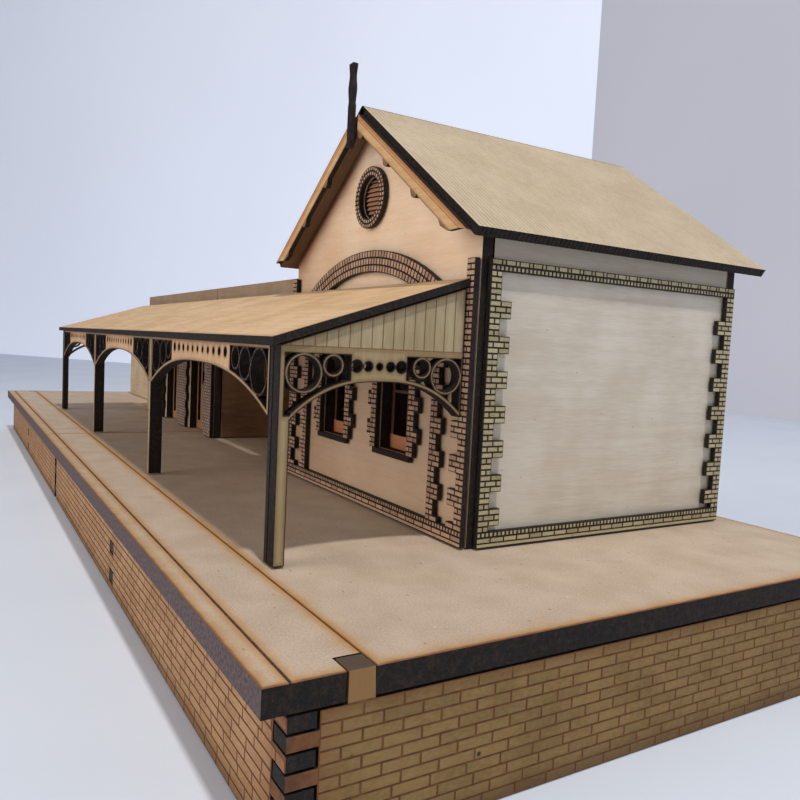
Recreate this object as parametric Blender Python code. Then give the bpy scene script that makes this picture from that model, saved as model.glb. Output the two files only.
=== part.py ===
"""Laser-cut wooden model railway station: a gabled wing and a lower block behind
a verandah, standing on a brick-faced platform.

Every piece is cut from flat sheet. Distances are in millimetres and are laid out
from the platform's near end (u), from its track edge (v) and up from the platform's
top (h). The model's own frame has its origin at the middle of the underside:
+X towards the near end, -Y towards the track, +Z up.
"""
import math

import bmesh
import bpy

MM = 0.001

# ---- sheet stock and clearances -------------------------------------------
BOARD = 3.0             # MDF of the platform
WALL = 2.0              # plywood of the walls and screens
OVERLAY = 0.8           # thin plywood of the brick overlays
ROOF = 1.5              # plywood of the main roof
THIN = 1.0              # sashes, louvre, doors, barge boards
GAP = 0.3               # left between pieces that are glued together

# ---- platform ---------------------------------------------------------------
LENGTH = 341.0
DEPTH = 108.0
HEIGHT = 18.2           # table to platform top
COPING = 11.8           # width of the separate strip along the track edge
SPLIT = 177.5           # u of the joint between the near and far tops
SETBACK = 2.6           # coping's overhang past the track wall
TENON_W = 3.0           # end wall's tenon through the platform top
RIBS = (85.5, 173.3, 261.0)     # the long walls are joined at the middle one
FINGERS = 8             # rows of fingers in the corner joints
TENON_ROWS = (3, 6)     # rows in which the ribs' tenons pass through the long walls

# ---- brick overlays ---------------------------------------------------------
COURSE = 0.89
BASE = 1.02 + 2 * COURSE        # plain band, stretcher course, dentil course
NARROW, WIDE = 2.1, 4.2         # quoin widths
STRIP_NARROW, STRIP_WIDE = 2.1, 3.3     # pier and window strip widths
TEETH = 7
EAVE_CLEAR = 4.0                # plain wall left under the eave

# ---- gabled wing ------------------------------------------------------------
WING_U0, WING_U1 = 30.4, 99.6   # outer faces of its side walls
FRONT_V = 44.4                  # outer face of the front wall
REAR_LEDGE = 3.5                # platform behind the rear wall
EAVE_LAP = 3.4                  # roof's overhang past the side walls
EAVE_H, RIDGE_H = 48.6, 74.5    # roof's upper surface at eave and ridge
ROOF_LAP_FRONT, ROOF_LAP_REAR = 3.4, 4.5
ARCH_R = 49.6                   # outer radius of the blind arch's brick ring
ARCH_RING = 4.0
ARCH_H = 48.3                   # top of the ring
ARCH_SPAN = 49.0                # between the piers
WINDOW_OFF, WINDOW_W = 12.0, 11.0       # off the wing's middle, and width
SILL_H, HEAD_H = 12.0, 33.0
VENT_H, VENT_R, VENT_RING = 58.2, 3.9, 1.8
BARGE_LAP, BARGE_W = 0.5, 2.9   # overlap on the roof's end, and depth, both upright
BARGE_STEP = 9.7                # spacing of the drops, along u
FINIAL_DROP, FINIAL_RISE = 8.0, 7.0     # below and above the ridge
FINIAL_W = 1.3

# ---- verandah ---------------------------------------------------------------
POST_IN, POST_OUT, POSTS = 3.1, 2.5, 4  # end posts, from the wing's and the block's corners
POST_V0, POST_V1 = 13.4, 15.1   # posts, and the legs of the end screens
POST_W, POST_DEPTH = 1.2, 2.7   # middle posts, along u and v
POST_BACK = 1.0                 # thin posts behind the legs
END_IN = 0.7                    # end screens, inside the roof's ends
VER_LAP0, VER_LAP1 = 2.3, 2.4   # roof past the end posts
VER_V0, VER_H0 = 12.0, 31.3     # roof's upper surface at its front edge
VER_H1 = 41.5                   # and where it meets the wall
VER_T = 1.2
SCREEN_END, SCREEN_CROWN = 10.0, 3.9    # screens' depth at the posts and in the middle
RINGS = (3.4, 2.5, 1.8)         # radii of the spandrel rings, post first
RING_W = 0.5
HOLES, HOLE_STEP = 11, 3.1
END_RINGS = (2.7, 1.6)          # the same in the end screens
END_BARS = (0.9, 0.2)           # bars beside the rings, at the post and at the wall
END_HOLE_STEP = 1.8

# ---- lower block, porch and far wing ---------------------------------------
BLOCK_U0, BLOCK_U1 = 160.0, 248.5
BLOCK_H = 45.0
PORCH_V = 70.0
DOOR_W, DOOR_H = 17.0, 27.0
DOORS_AT = (9.0, 40.0)          # near sides, from the block's near corner
BLOCK_WINDOW_AT, BLOCK_WINDOW_W = 68.0, 11.0
PORCH_DOOR_AT = 20.4            # near side, from the wing's corner
PORCH_WINDOW_AT, PORCH_WINDOW_W = 45.4, 9.0
FASCIA = 9.0                    # depth of the board over the porch
PARAPET = 3.5                   # block's walls above its roof's underside
FAR_LEDGE = 11.0                # platform beyond the far wing
FAR_V, FAR_H = 54.0, 27.0
FAR_RISE = 6.0                  # rise of the far wing's roof to the rear
FAR_WINDOW_W = 16.0

# ---- worked out from the above ---------------------------------------------
REAR_V = DEPTH - REAR_LEDGE
ROOF_V0, ROOF_V1 = FRONT_V - ROOF_LAP_FRONT, REAR_V + ROOF_LAP_REAR
RIDGE_U = (WING_U0 + WING_U1) / 2
EAVE_U = WING_U0 - EAVE_LAP             # u of the roof's near lower edge
WINDOW_U = (RIDGE_U - WINDOW_OFF, RIDGE_U + WINDOW_OFF)
PITCH = math.atan2(RIDGE_H - EAVE_H, RIDGE_U - EAVE_U)
ROOF_DROP = ROOF / math.cos(PITCH)      # roof thickness measured upright
OVERLAY_V = FRONT_V - GAP - OVERLAY     # front face of the front overlays
TENON_V = COPING - TENON_W
VER_V1 = OVERLAY_V - GAP
VER_SLOPE = (VER_H1 - VER_H0) / (VER_V1 - VER_V0)
POST_1 = WING_U0 + POST_IN
POST_STEP = (BLOCK_U1 + POST_OUT - POST_1) / (POSTS - 1)
VER_U0, VER_U1 = POST_1 - VER_LAP0, BLOCK_U1 + POST_OUT + VER_LAP1
SCREEN_TOP = VER_H0 + (POST_V0 - VER_V0) * VER_SLOPE - VER_T - GAP
FINGER = (HEIGHT - BOARD - GAP) / FINGERS
FAR_U1 = LENGTH - FAR_LEDGE
FAR_SLOPE = FAR_RISE / (REAR_V - FAR_V)

COLOURS = {
    "mdf": (0.55, 0.41, 0.28), "brick_mdf": (0.42, 0.28, 0.14),
    "ply": (0.60, 0.50, 0.38), "overlay": (0.34, 0.27, 0.19),
    "roof_ply": (0.52, 0.40, 0.25), "gold_ply": (0.58, 0.40, 0.22),
    "char": (0.03, 0.028, 0.027),
}


# ---- helpers ----------------------------------------------------------------
def to_x(u):
    return (LENGTH / 2 - u) * MM


def to_y(v):
    return (v - ROOF_V1 / 2) * MM


def to_z(h):
    return (HEIGHT + h) * MM


def material(kind):
    mat = bpy.data.materials.get(kind)
    if mat is None:
        mat = bpy.data.materials.new(kind)
        mat.use_nodes = True
        shader = mat.node_tree.nodes["Principled BSDF"]
        shader.inputs["Base Color"].default_value = (*COLOURS[kind], 1.0)
        shader.inputs["Roughness"].default_value = 0.75
        shader.inputs["Metallic"].default_value = 0.0
    return mat


def arc(cu, ch, radius, start, end, steps):
    """Points on a round stretch, angles in degrees."""
    turn = [math.radians(start + (end - start) * i / steps) for i in range(steps + 1)]
    return [(cu + radius * math.cos(a), ch + radius * math.sin(a)) for a in turn]


def circle(cu, ch, radius, steps=16):
    return arc(cu, ch, radius, 0, 360, steps)[:-1]


def box(u0, h0, u1, h1):
    return [(u0, h0), (u1, h0), (u1, h1), (u0, h1)]


def teeth_levels(first, last, phase):
    """Heights where a toothed edge steps, as (low, high, is_wide) bands."""
    start = BASE + 4 * COURSE
    cuts = [start + 3 * COURSE * i for i in range(-1, 2 * TEETH)]
    bands, low = [], first
    for i, cut in enumerate(cuts):
        if low < cut < last:
            bands.append((low, cut, (i + phase) % 2 == 1))
            low = cut
    bands.append((low, last, False))
    return bands


def toothed(narrow, wide, first, last, phase=0):
    """A vertical edge that steps between two positions, bottom to top."""
    edge = []
    for low, high, is_wide in teeth_levels(first, last, phase):
        place = wide if is_wide else narrow
        edge += [(place, low), (place, high)]
    return edge


def sheet(name, kind, plane, outline, low, thick, holes=()):
    """One flat piece: an outline with holes, cut from sheet.

    plane "front" takes (u, h) points and lies from v = low inwards,
    plane "side" takes (v, h) points and lies from u = low away from the near end,
    plane "top" takes (u, v) points and lies from h = low upwards.
    """
    place = {"front": lambda p: (to_x(p[0]), to_z(p[1])),
             "side": lambda p: (to_y(p[0]), to_z(p[1])),
             "top": lambda p: (to_x(p[0]), to_y(p[1]))}[plane]
    curve = bpy.data.curves.new(name, "CURVE")
    curve.dimensions = "2D"
    curve.fill_mode = "BOTH"
    curve.extrude = thick * MM / 2
    for loop in (outline, *holes):
        spline = curve.splines.new("POLY")
        spline.points.add(len(loop) - 1)
        for point, at in zip(spline.points, loop):
            point.co = (*place(at), 0.0, 1.0)
        spline.use_cyclic_u = True
    drawn = bpy.data.objects.new(name + "_outline", curve)
    MODEL.objects.link(drawn)
    middle = low + thick / 2
    if plane == "front":
        drawn.location = (0, to_y(middle), 0)
        drawn.rotation_euler = (math.pi / 2, 0, 0)
    elif plane == "side":
        drawn.location = (to_x(middle), 0, 0)
        drawn.rotation_euler = (math.pi / 2, 0, math.pi / 2)
    else:
        drawn.location = (0, 0, to_z(middle))
    bpy.context.view_layer.update()
    graph = bpy.context.evaluated_depsgraph_get()
    mesh = bpy.data.meshes.new_from_object(drawn.evaluated_get(graph))
    work = bmesh.new()
    work.from_mesh(mesh)
    bmesh.ops.remove_doubles(work, verts=work.verts, dist=1e-6)
    bmesh.ops.recalc_face_normals(work, faces=work.faces)
    work.to_mesh(mesh)
    work.free()
    piece = bpy.data.objects.new(name, mesh)
    piece.matrix_world = drawn.matrix_world
    mesh.materials.clear()
    mesh.materials.append(material(kind))
    MODEL.objects.link(piece)
    bpy.data.objects.remove(drawn)
    return piece


def roof_top(u):
    """Height of the main roof's upper surface."""
    return RIDGE_H - abs(u - RIDGE_U) * math.tan(PITCH)


def roof_under(u):
    return roof_top(u) - ROOF_DROP


# ---- platform ---------------------------------------------------------------
def build_platform():
    joint = GAP / 2
    tenon_u = BOARD + GAP
    strip = [(0, 0), (SPLIT - joint, 0), (SPLIT - joint, COPING - joint),
             (tenon_u, COPING - joint), (tenon_u, TENON_V - GAP), (0, TENON_V - GAP)]
    sheet("coping_near", "mdf", "top", strip, -BOARD, BOARD)
    far = [(LENGTH - u, v) for u, v in strip]
    far[1:3] = [(SPLIT + joint, 0), (SPLIT + joint, COPING - joint)]
    sheet("coping_far", "mdf", "top", far, -BOARD, BOARD)
    sheet("top_near", "mdf", "top", box(0, COPING + joint, SPLIT - joint, DEPTH), -BOARD, BOARD)
    sheet("top_far", "mdf", "top", box(SPLIT + joint, COPING + joint, LENGTH, DEPTH), -BOARD, BOARD)

    top = -BOARD - GAP
    levels = [top - FINGER * i for i in range(FINGERS + 1)]
    bottom = levels[-1]

    def fingered(out, inner, first):
        """A sheet's end, from the top down: out in every other row, with a gap under each."""
        edge, start = [], top
        for row in range(FINGERS):
            reaches = row % 2 == first
            end = levels[row + 1] + (GAP if reaches and row < FINGERS - 1 else 0)
            edge += [(out if reaches else inner, start), (out if reaches else inner, end)]
            start = end
        return edge

    def long_wall(name, v, from_u, to_u, fingers_at, tenons):
        """A long wall whose outer end has fingers that pass through the end wall."""
        inner = BOARD + GAP if fingers_at == 0 else LENGTH - BOARD - GAP
        other = to_u if fingers_at == 0 else from_u
        outline = fingered(fingers_at, inner, 0) + [(other, bottom), (other, top)]
        half = BOARD / 2 + GAP
        cuts = [box(u - half, levels[row + 1] - GAP, u + half, levels[row] + GAP)
                for u in tenons for row in TENON_ROWS]
        sheet(name, "brick_mdf", "front", outline, v, BOARD, cuts)

    half = BOARD / 2 + GAP
    near_end, far_end = (0, RIBS[1] - half), (RIBS[1] + half, LENGTH)
    for side, v in (("track", SETBACK), ("rear", DEPTH - BOARD)):
        long_wall(side + "_wall_near", v, *near_end, 0, RIBS[:1])
        long_wall(side + "_wall_far", v, *far_end, LENGTH, RIBS[2:])

    v0, v1 = SETBACK, DEPTH
    front = fingered(v0, v0 + BOARD + GAP, 1)
    rear = fingered(v1, v1 - BOARD - GAP, 1)[::-1]
    for name, u in (("end_wall_near", 0), ("end_wall_far", LENGTH - BOARD)):
        outline = front + rear + [(COPING, top), (COPING - joint, 0), (TENON_V, 0), (TENON_V, top)]
        sheet(name, "brick_mdf", "side", outline, u, BOARD)

    for number, u in enumerate(RIBS, 1):
        inner_v0, inner_v1 = SETBACK + BOARD + GAP, DEPTH - BOARD - GAP
        right, left = [], []
        for row in reversed(TENON_ROWS):
            low, high = levels[row + 1], levels[row]
            right += [(inner_v1, low), (DEPTH, low), (DEPTH, high), (inner_v1, high)]
            left += [(inner_v0, low), (SETBACK, low), (SETBACK, high), (inner_v0, high)]
        outline = [(inner_v0, bottom), (inner_v1, bottom), *right, (inner_v1, top),
                   (inner_v0, top), *left[::-1]]
        sheet("rib_%d" % number, "mdf", "side", outline, u - BOARD / 2, BOARD)


# ---- gabled wing ------------------------------------------------------------
def gable_outline():
    u0, u1 = WING_U0, WING_U1
    return [(u0, GAP), (u1, GAP), (u1, roof_under(u1) - GAP), (RIDGE_U, roof_under(RIDGE_U) - GAP),
            (u0, roof_under(u0) - GAP)]


def window_hole(u, w=WINDOW_W, low=SILL_H, high=HEAD_H):
    return box(u - w / 2, low, u + w / 2, high)


def build_wing_walls():
    holes = [window_hole(u) for u in WINDOW_U] + [circle(RIDGE_U, VENT_H, VENT_R, 24)]
    sheet("gable_front", "ply", "front", gable_outline(), FRONT_V, WALL, holes)
    sheet("gable_rear", "ply", "front", gable_outline(), REAR_V - WALL, WALL)
    v0, v1 = FRONT_V + WALL + GAP, REAR_V - WALL - GAP
    top = roof_under(WING_U0) - GAP
    sheet("side_wall_near", "ply", "side", box(v0, GAP, v1, top), WING_U0, WALL)
    sheet("side_wall_inner", "ply", "side", box(v0, GAP, v1, top), WING_U1 - WALL, WALL)


def frieze_top():
    """The last whole course that clears the eave."""
    room = roof_under(WING_U0) - EAVE_CLEAR - BASE
    return BASE + COURSE * math.floor(room / COURSE)


def build_side_overlay():
    """A frame of bricks round the near side wall: base, quoins and frieze."""
    v0, v1 = FRONT_V + 1.1, REAR_V - 1.1
    frieze = frieze_top() - 2 * COURSE
    low = toothed(v0 + NARROW, v0 + WIDE, BASE, frieze)
    high = toothed(v1 - NARROW, v1 - WIDE, BASE, frieze)
    inside = low + high[::-1]
    outline = box(v0, GAP, v1, frieze_top())
    sheet("side_overlay", "overlay", "side", outline, WING_U0 - GAP - OVERLAY, OVERLAY, [inside])


def arch_points(radius, half_span, steps=20):
    """The arch's curve from its near springing to its far one."""
    centre_h = ARCH_H - ARCH_R
    lean = math.degrees(math.acos(half_span / radius))
    return arc(RIDGE_U, centre_h, radius, 180 - lean, lean, steps)


def build_front_overlay():
    """Base course, quoins at both corners and a blind arch on two piers."""
    top = frieze_top()
    inner = ARCH_SPAN / 2
    pier_n, pier_w = inner + STRIP_NARROW, inner + STRIP_WIDE
    arch_out = arch_points(ARCH_R, pier_n)
    arch_in = arch_points(ARCH_R - ARCH_RING, inner)
    spring = arch_out[0][1]
    near = toothed(WING_U0 + NARROW, WING_U0 + WIDE, BASE, top, 1)
    far = [(2 * RIDGE_U - u, h) for u, h in near]
    pier = toothed(RIDGE_U - pier_n, RIDGE_U - pier_w, BASE, spring, 1)
    pier_far = [(2 * RIDGE_U - u, h) for u, h in pier]
    outline = [(WING_U0, GAP), (WING_U0, top)] + near[::-1] + pier + arch_out[1:-1]
    outline += pier_far[::-1] + far + [(WING_U1, top), (WING_U1, GAP)]
    opening = [(RIDGE_U - inner, BASE)] + arch_in + [(RIDGE_U + inner, BASE)]
    sheet("front_overlay", "overlay", "front", outline, OVERLAY_V, OVERLAY, [opening])


def build_windows():
    half = WINDOW_W / 2
    for label, u in zip(("near", "far"), WINDOW_U):
        low, high = SILL_H, HEAD_H + 2 * COURSE
        edge = toothed(half + STRIP_NARROW, half + STRIP_WIDE, low, high, 0)
        sill = [(half + 1.0, low - 1.0), (half + 1.0, low)]
        right = [(u + w, h) for w, h in sill + edge]
        left = [(u - w, h) for w, h in sill + edge]
        sheet("surround_" + label, "overlay", "front", right + left[::-1], OVERLAY_V, OVERLAY,
              [window_hole(u)])
        frame = window_hole(u, WINDOW_W + 3.0, SILL_H - 1.0, HEAD_H + 1.0)
        bar, rail = 0.25, 2.4
        middle = (SILL_H + HEAD_H) / 2
        panes = []
        for a, b in ((u - half + 0.8, u - bar), (u + bar, u + half - 0.8)):
            panes += [box(a, SILL_H + rail, b, middle - bar), box(a, middle + bar, b, HEAD_H - 0.8)]
        sheet("sash_" + label, "ply", "front", frame, FRONT_V + WALL + GAP, THIN, panes)


def build_vent():
    ring = circle(RIDGE_U, VENT_H, VENT_R + VENT_RING, 28)
    sheet("vent_ring", "overlay", "front", ring, OVERLAY_V, OVERLAY,
          [circle(RIDGE_U, VENT_H, VENT_R, 24)])
    disc = circle(RIDGE_U, VENT_H, VENT_R + 1.2, 24)
    slots, slats, rim = [], 6, VENT_R - 0.4
    pitch = 2 * rim / slats
    for i in range(slats):
        low = -rim + pitch * (i + 0.3)
        half = math.sqrt(max(rim * rim - max(abs(low), abs(low + 0.4 * pitch)) ** 2, 0.2))
        slots.append(box(RIDGE_U - half, VENT_H + low, RIDGE_U + half, VENT_H + low + 0.4 * pitch))
    sheet("vent_louvre", "ply", "front", disc, FRONT_V + WALL + GAP, THIN, slots)


def mirrored(points):
    return [(2 * RIDGE_U - u, h) for u, h in points]


def build_main_roof():
    """Two sheets that meet at the ridge, the near one lapping over the far."""
    across = ROOF * math.sin(PITCH)
    near = [(EAVE_U, EAVE_H), (EAVE_U + across, EAVE_H - ROOF * math.cos(PITCH)),
            (RIDGE_U - GAP / 2, roof_under(RIDGE_U)), (RIDGE_U - GAP / 2, RIDGE_H)]
    length = ROOF_V1 - ROOF_V0
    sheet("roof_near", "roof_ply", "front", near, ROOF_V0, length)
    sheet("roof_far", "roof_ply", "front", mirrored(near), ROOF_V0, length)


def build_barge_boards():
    """Boards lapped on the roof's front end, with small round drops, and a finial."""
    board_v = ROOF_V0 - GAP - THIN

    def under(u, down=0.0):
        return (u, roof_under(u) + BARGE_LAP - down)

    low_u, high_u = EAVE_U + 1.2, RIDGE_U - FINIAL_W / 2 - GAP
    lower = [under(high_u, BARGE_W)]
    for i in range(3):
        u = RIDGE_U - 2.4 - BARGE_STEP * i
        if i:
            lower.append(under(u + 1.3, BARGE_W))
        drop = under(u, BARGE_W)
        lower += arc(drop[0], drop[1] + 0.3, 1.1, -35, -145, 5)
        lower.append(under(u - 1.3, BARGE_W))
    tail = under(low_u + 7.6, BARGE_W)
    lower += [tail, (tail[0] - 0.6, tail[1] - 1.1), (tail[0] - 2.6, tail[1] - 2.0),
              (low_u + 2.0, tail[1] - 1.9)]
    board = [under(high_u)] + lower + [under(low_u)]
    for label, points in (("near", board), ("far", mirrored(board))):
        sheet("barge_" + label, "ply", "front", points, board_v, THIN)

    half, turned = FINIAL_W / 2, []
    for i in range(25):
        rise = (FINIAL_DROP + FINIAL_RISE) * i / 24 - FINIAL_DROP
        h = RIDGE_H + rise
        wave = 0.18 * math.sin((rise + FINIAL_DROP) * 1.35) if rise > 0 else 0.0
        turned.append((RIDGE_U + half + wave, h))
    sheet("finial", "char", "front", turned + mirrored(turned)[::-1],
          board_v - GAP - THIN, THIN)


# ---- verandah ---------------------------------------------------------------
def ver_top(v):
    return VER_H0 + (v - VER_V0) * VER_SLOPE


def post_span(i):
    """Two sides of a post: the end ones are thin, and stand behind the end screens' legs."""
    if i == 0:
        side = VER_U0 + END_IN + WALL + GAP
        return side, side + POST_BACK
    if i == POSTS - 1:
        side = VER_U1 - END_IN - WALL - GAP
        return side - POST_BACK, side
    middle = POST_1 + POST_STEP * i
    return middle - POST_W / 2, middle + POST_W / 2


def build_verandah_roof():
    profile = [(VER_V0, VER_H0 - VER_T), (VER_V1, VER_H1 - VER_T), (VER_V1, VER_H1),
               (VER_V0, VER_H0)]
    sheet("verandah_roof", "gold_ply", "side", profile, VER_U0, VER_U1 - VER_U0)
    for i in range(POSTS):
        low, high = post_span(i)
        profile = box(low, GAP, high, ver_top(POST_V0) - VER_T - GAP)
        depth = POST_V1 - POST_V0 if i in (0, POSTS - 1) else POST_DEPTH
        sheet("post_%d" % (i + 1), "char", "front", profile, POST_V0, depth)


def arch_curve(low, high, end_h, crown_h, steps=18):
    """A shallow arch between two posts, with short level feet."""
    middle, half = (low + high) / 2, (high - low) / 2
    curve = []
    for i in range(steps + 1):
        t = -1 + 2 * i / steps
        curve.append((middle + half * t, end_h + (crown_h - end_h) * (1 - abs(t) ** 2.6)))
    return curve


def build_front_screens():
    """Arched fretwork between the posts: rings in the spandrels, holes in the middle."""
    for i in range(POSTS - 1):
        low, high = post_span(i)[1] + GAP, post_span(i + 1)[0] - GAP
        middle = (low + high) / 2
        top = SCREEN_TOP
        curve = arch_curve(low, high, top - SCREEN_END, top - SCREEN_CROWN)
        outline = curve + [(high, top), (low, top)]
        holes = []
        for side in (1, -1):
            edge = (low if side == 1 else high) + side * 0.9
            for radius in RINGS:
                centre = edge + side * radius
                holes.append(circle(centre, top - 0.9 - radius, radius - RING_W / 2, 14))
                edge += side * (2 * radius + RING_W / 2)
        for k in range(HOLES):
            u = middle + (k - (HOLES - 1) / 2) * HOLE_STEP
            reach = 0.45 + 0.5 * (abs(k - (HOLES - 1) / 2) / (HOLES / 2)) ** 2
            holes.append(box(u - 0.45, top - 1.45 - reach, u + 0.45, top - 1.45 + reach))
        sheet("screen_%d" % (i + 1), "gold_ply", "front", outline, POST_V0, WALL, holes)


def build_end_screens():
    """Leg and fretwork arch from the corner to the wall, with a boarded gable over it."""
    low, high = POST_V0, VER_V1
    top = SCREEN_TOP
    curve = arch_curve(POST_V1, high, top - SCREEN_END, top - SCREEN_CROWN - 0.8)
    slope_gap = VER_T + GAP
    outline = [(low, GAP), (POST_V1, GAP)] + curve
    outline += [(high, ver_top(high) - slope_gap), (low, ver_top(low) - slope_gap)]
    ends = (low + END_BARS[0], high - END_BARS[1])
    holes = []
    for side, edge in zip((1, -1), ends):
        for radius in END_RINGS:
            holes.append(circle(edge + side * radius, top - 1.2 - radius, radius - RING_W / 2, 16))
            edge += side * 2 * radius
        slot = edge + side * 0.55
        holes.append(box(slot - 0.3, top - 3.9, slot + 0.3, top - 1.1))
    for k in range(5):
        v = sum(ends) / 2 + (k - 2) * END_HOLE_STEP
        holes.append(circle(v, top - 2.6, 0.5 + 0.15 * abs(k - 2), 10))
    for label, u in (("near", VER_U0 + END_IN), ("far", VER_U1 - END_IN - WALL)):
        sheet("end_screen_" + label, "gold_ply", "side", outline, u, WALL, holes)


# ---- lower block, porch and far wing ---------------------------------------
def block_doors():
    """The near and far sides of each doorway in the block's front."""
    return [(BLOCK_U0 + at, BLOCK_U0 + at + DOOR_W) for at in DOORS_AT]


def porch_door():
    return WING_U1 + PORCH_DOOR_AT, WING_U1 + PORCH_DOOR_AT + DOOR_W


def build_block():
    u0, u1, top = BLOCK_U0, BLOCK_U1, BLOCK_H
    outline = [(u0, GAP)]
    for a, b in block_doors():
        outline += [(a, GAP), (a, DOOR_H), (b, DOOR_H), (b, GAP)]
    outline += [(u1, GAP), (u1, top), (u0, top)]
    a = u0 + BLOCK_WINDOW_AT
    window = box(a, SILL_H, a + BLOCK_WINDOW_W, DOOR_H)
    sheet("block_front", "ply", "front", outline, FRONT_V, WALL, [window])
    v0, v1 = FRONT_V + WALL + GAP, REAR_V - WALL - GAP
    porch_u0, porch_u1 = WING_U1 + GAP, u0 - GAP
    fascia = box(porch_u0, top - FASCIA, porch_u1, top)
    sheet("porch_fascia", "ply", "front", fascia, FRONT_V, WALL)
    a, b = porch_door()
    ceiling = top - PARAPET
    back = [(porch_u0, GAP), (a, GAP), (a, DOOR_H), (b, DOOR_H), (b, GAP), (porch_u1, GAP),
            (porch_u1, ceiling), (porch_u0, ceiling)]
    a = WING_U1 + PORCH_WINDOW_AT
    window = box(a, SILL_H, a + PORCH_WINDOW_W, DOOR_H)
    sheet("porch_back", "ply", "front", back, PORCH_V, WALL, [window])
    sheet("block_side", "ply", "side", box(v0, GAP, v1, ceiling), u0, WALL)
    sheet("block_end", "ply", "side", box(v0, GAP, v1, top), u1 - WALL, WALL)
    sheet("block_rear", "ply", "front", box(porch_u0, GAP, u1, top), REAR_V - WALL, WALL)
    roof = box(porch_u0, FRONT_V + WALL + GAP, u1 - WALL - GAP, REAR_V - WALL - GAP)
    sheet("block_roof", "roof_ply", "top", roof, ceiling + GAP, ROOF)


def build_doors():
    """Each door is a sheet behind its opening: a leaf between two side lights."""
    def door(name, a, b, v):
        middle, leaf, edge = (a + b) / 2, 4.5, 1.0
        panes = [box(a + edge, 3.0, middle - leaf, DOOR_H - 1.0),
                 box(middle + leaf, 3.0, b - edge, DOOR_H - 1.0),
                 box(middle - leaf + 1.2, 15.0, middle + leaf - 1.2, DOOR_H - 3.0)]
        sheet(name, "ply", "front", box(a - 1.2, GAP, b + 1.2, DOOR_H + 1.2), v, THIN, panes)

    for number, (a, b) in enumerate(block_doors(), 1):
        door("door_%d" % number, a, b, FRONT_V + WALL + GAP)
    door("porch_door", *porch_door(), PORCH_V + WALL + GAP)


def build_block_overlay():
    """Brick piers between the doors, tied by a band over their heads."""
    band = (DOOR_H + 1.0, DOOR_H + 1.0 + 3 * COURSE)
    (a0, b0), (a1, b1) = block_doors()
    u0 = BLOCK_U0
    piers = [(u0, a0 - 1.2), (b0 + 1.2, a1 - 1.2), (b1 + 1.2, b1 + 10.0)]
    outline = block_overlay_loop(piers, band)
    sheet("block_overlay", "overlay", "front", outline, OVERLAY_V, OVERLAY)


def block_overlay_loop(piers, band):
    """Runs along the foot of each pier and up over each doorway."""
    loop = [(piers[0][0], band[1]), (piers[0][0], GAP)]
    for number, (a, b) in enumerate(piers):
        if number:
            loop += toothed(a + 0.9, a, GAP, band[0])[::-1]
        loop += toothed(b - 0.9, b, GAP, band[0])
    return loop + [(piers[-1][1], band[1])]


def build_far_wing():
    u0, u1 = BLOCK_U1 + GAP, FAR_U1
    low, high = FAR_V, REAR_V

    def under(v):
        return FAR_H + (v - low) * FAR_SLOPE

    front = box(u0, GAP, u1, under(low))
    middle, half = (u0 + u1) / 2, FAR_WINDOW_W / 2
    window = box(middle - half, SILL_H, middle + half, FAR_H - 4.0)
    sheet("far_front", "ply", "front", front, low, WALL, [window])
    sheet("far_rear", "ply", "front", box(u0, GAP, u1, under(high - WALL)), high - WALL, WALL)
    v0, v1 = low + WALL + GAP, high - WALL - GAP
    side = [(v0, GAP), (v1, GAP), (v1, under(v1)), (v0, under(v0))]
    sheet("far_end", "ply", "side", side, u1 - WALL, WALL)
    v0, v1 = low - 2.0, high + 2.0
    profile = [(v0, under(v0) + GAP), (v1, under(v1) + GAP), (v1, under(v1) + GAP + ROOF),
               (v0, under(v0) + GAP + ROOF)]
    sheet("far_roof", "roof_ply", "side", profile, u0, u1 + 2.0 - u0)


for old in list(bpy.data.objects):
    bpy.data.objects.remove(old)
MODEL = bpy.data.collections.new("model_railway_station")
bpy.context.scene.collection.children.link(MODEL)

build_platform()
build_wing_walls()
build_side_overlay()
build_front_overlay()
build_windows()
build_vent()
build_main_roof()
build_barge_boards()
build_verandah_roof()
build_front_screens()
build_end_screens()
build_block()
build_doors()
build_block_overlay()
build_far_wing()
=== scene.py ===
"""Looks of the laser-cut model railway station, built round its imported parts.

Distances are in millimetres: u runs along the platform from its near end, v across it
from the track edge, and h up from its top. A cut sheet or a field of bricks is drawn in
a face's own plane, with a and b along the face and c straight out of it.
"""
import math

import bpy
import numpy as np
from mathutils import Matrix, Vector

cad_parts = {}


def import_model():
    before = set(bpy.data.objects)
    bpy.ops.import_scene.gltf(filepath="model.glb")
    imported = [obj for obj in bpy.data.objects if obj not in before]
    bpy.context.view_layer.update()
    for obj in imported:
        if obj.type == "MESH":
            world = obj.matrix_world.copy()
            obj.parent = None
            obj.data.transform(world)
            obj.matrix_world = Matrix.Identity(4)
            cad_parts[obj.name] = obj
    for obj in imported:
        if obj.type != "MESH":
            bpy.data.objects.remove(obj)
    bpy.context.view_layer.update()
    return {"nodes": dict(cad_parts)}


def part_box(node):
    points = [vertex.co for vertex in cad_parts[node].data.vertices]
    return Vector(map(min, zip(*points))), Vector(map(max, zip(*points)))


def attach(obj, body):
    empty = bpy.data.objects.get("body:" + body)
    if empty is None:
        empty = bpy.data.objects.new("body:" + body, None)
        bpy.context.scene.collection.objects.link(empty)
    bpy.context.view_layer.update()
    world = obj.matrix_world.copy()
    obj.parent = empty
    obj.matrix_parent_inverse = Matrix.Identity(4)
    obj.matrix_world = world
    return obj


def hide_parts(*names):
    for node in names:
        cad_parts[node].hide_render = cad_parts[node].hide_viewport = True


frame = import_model()

MM = 0.001
LOW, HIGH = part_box("coping_near")
U0, V0, H0 = HIGH.x, LOW.y, HIGH.z

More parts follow.
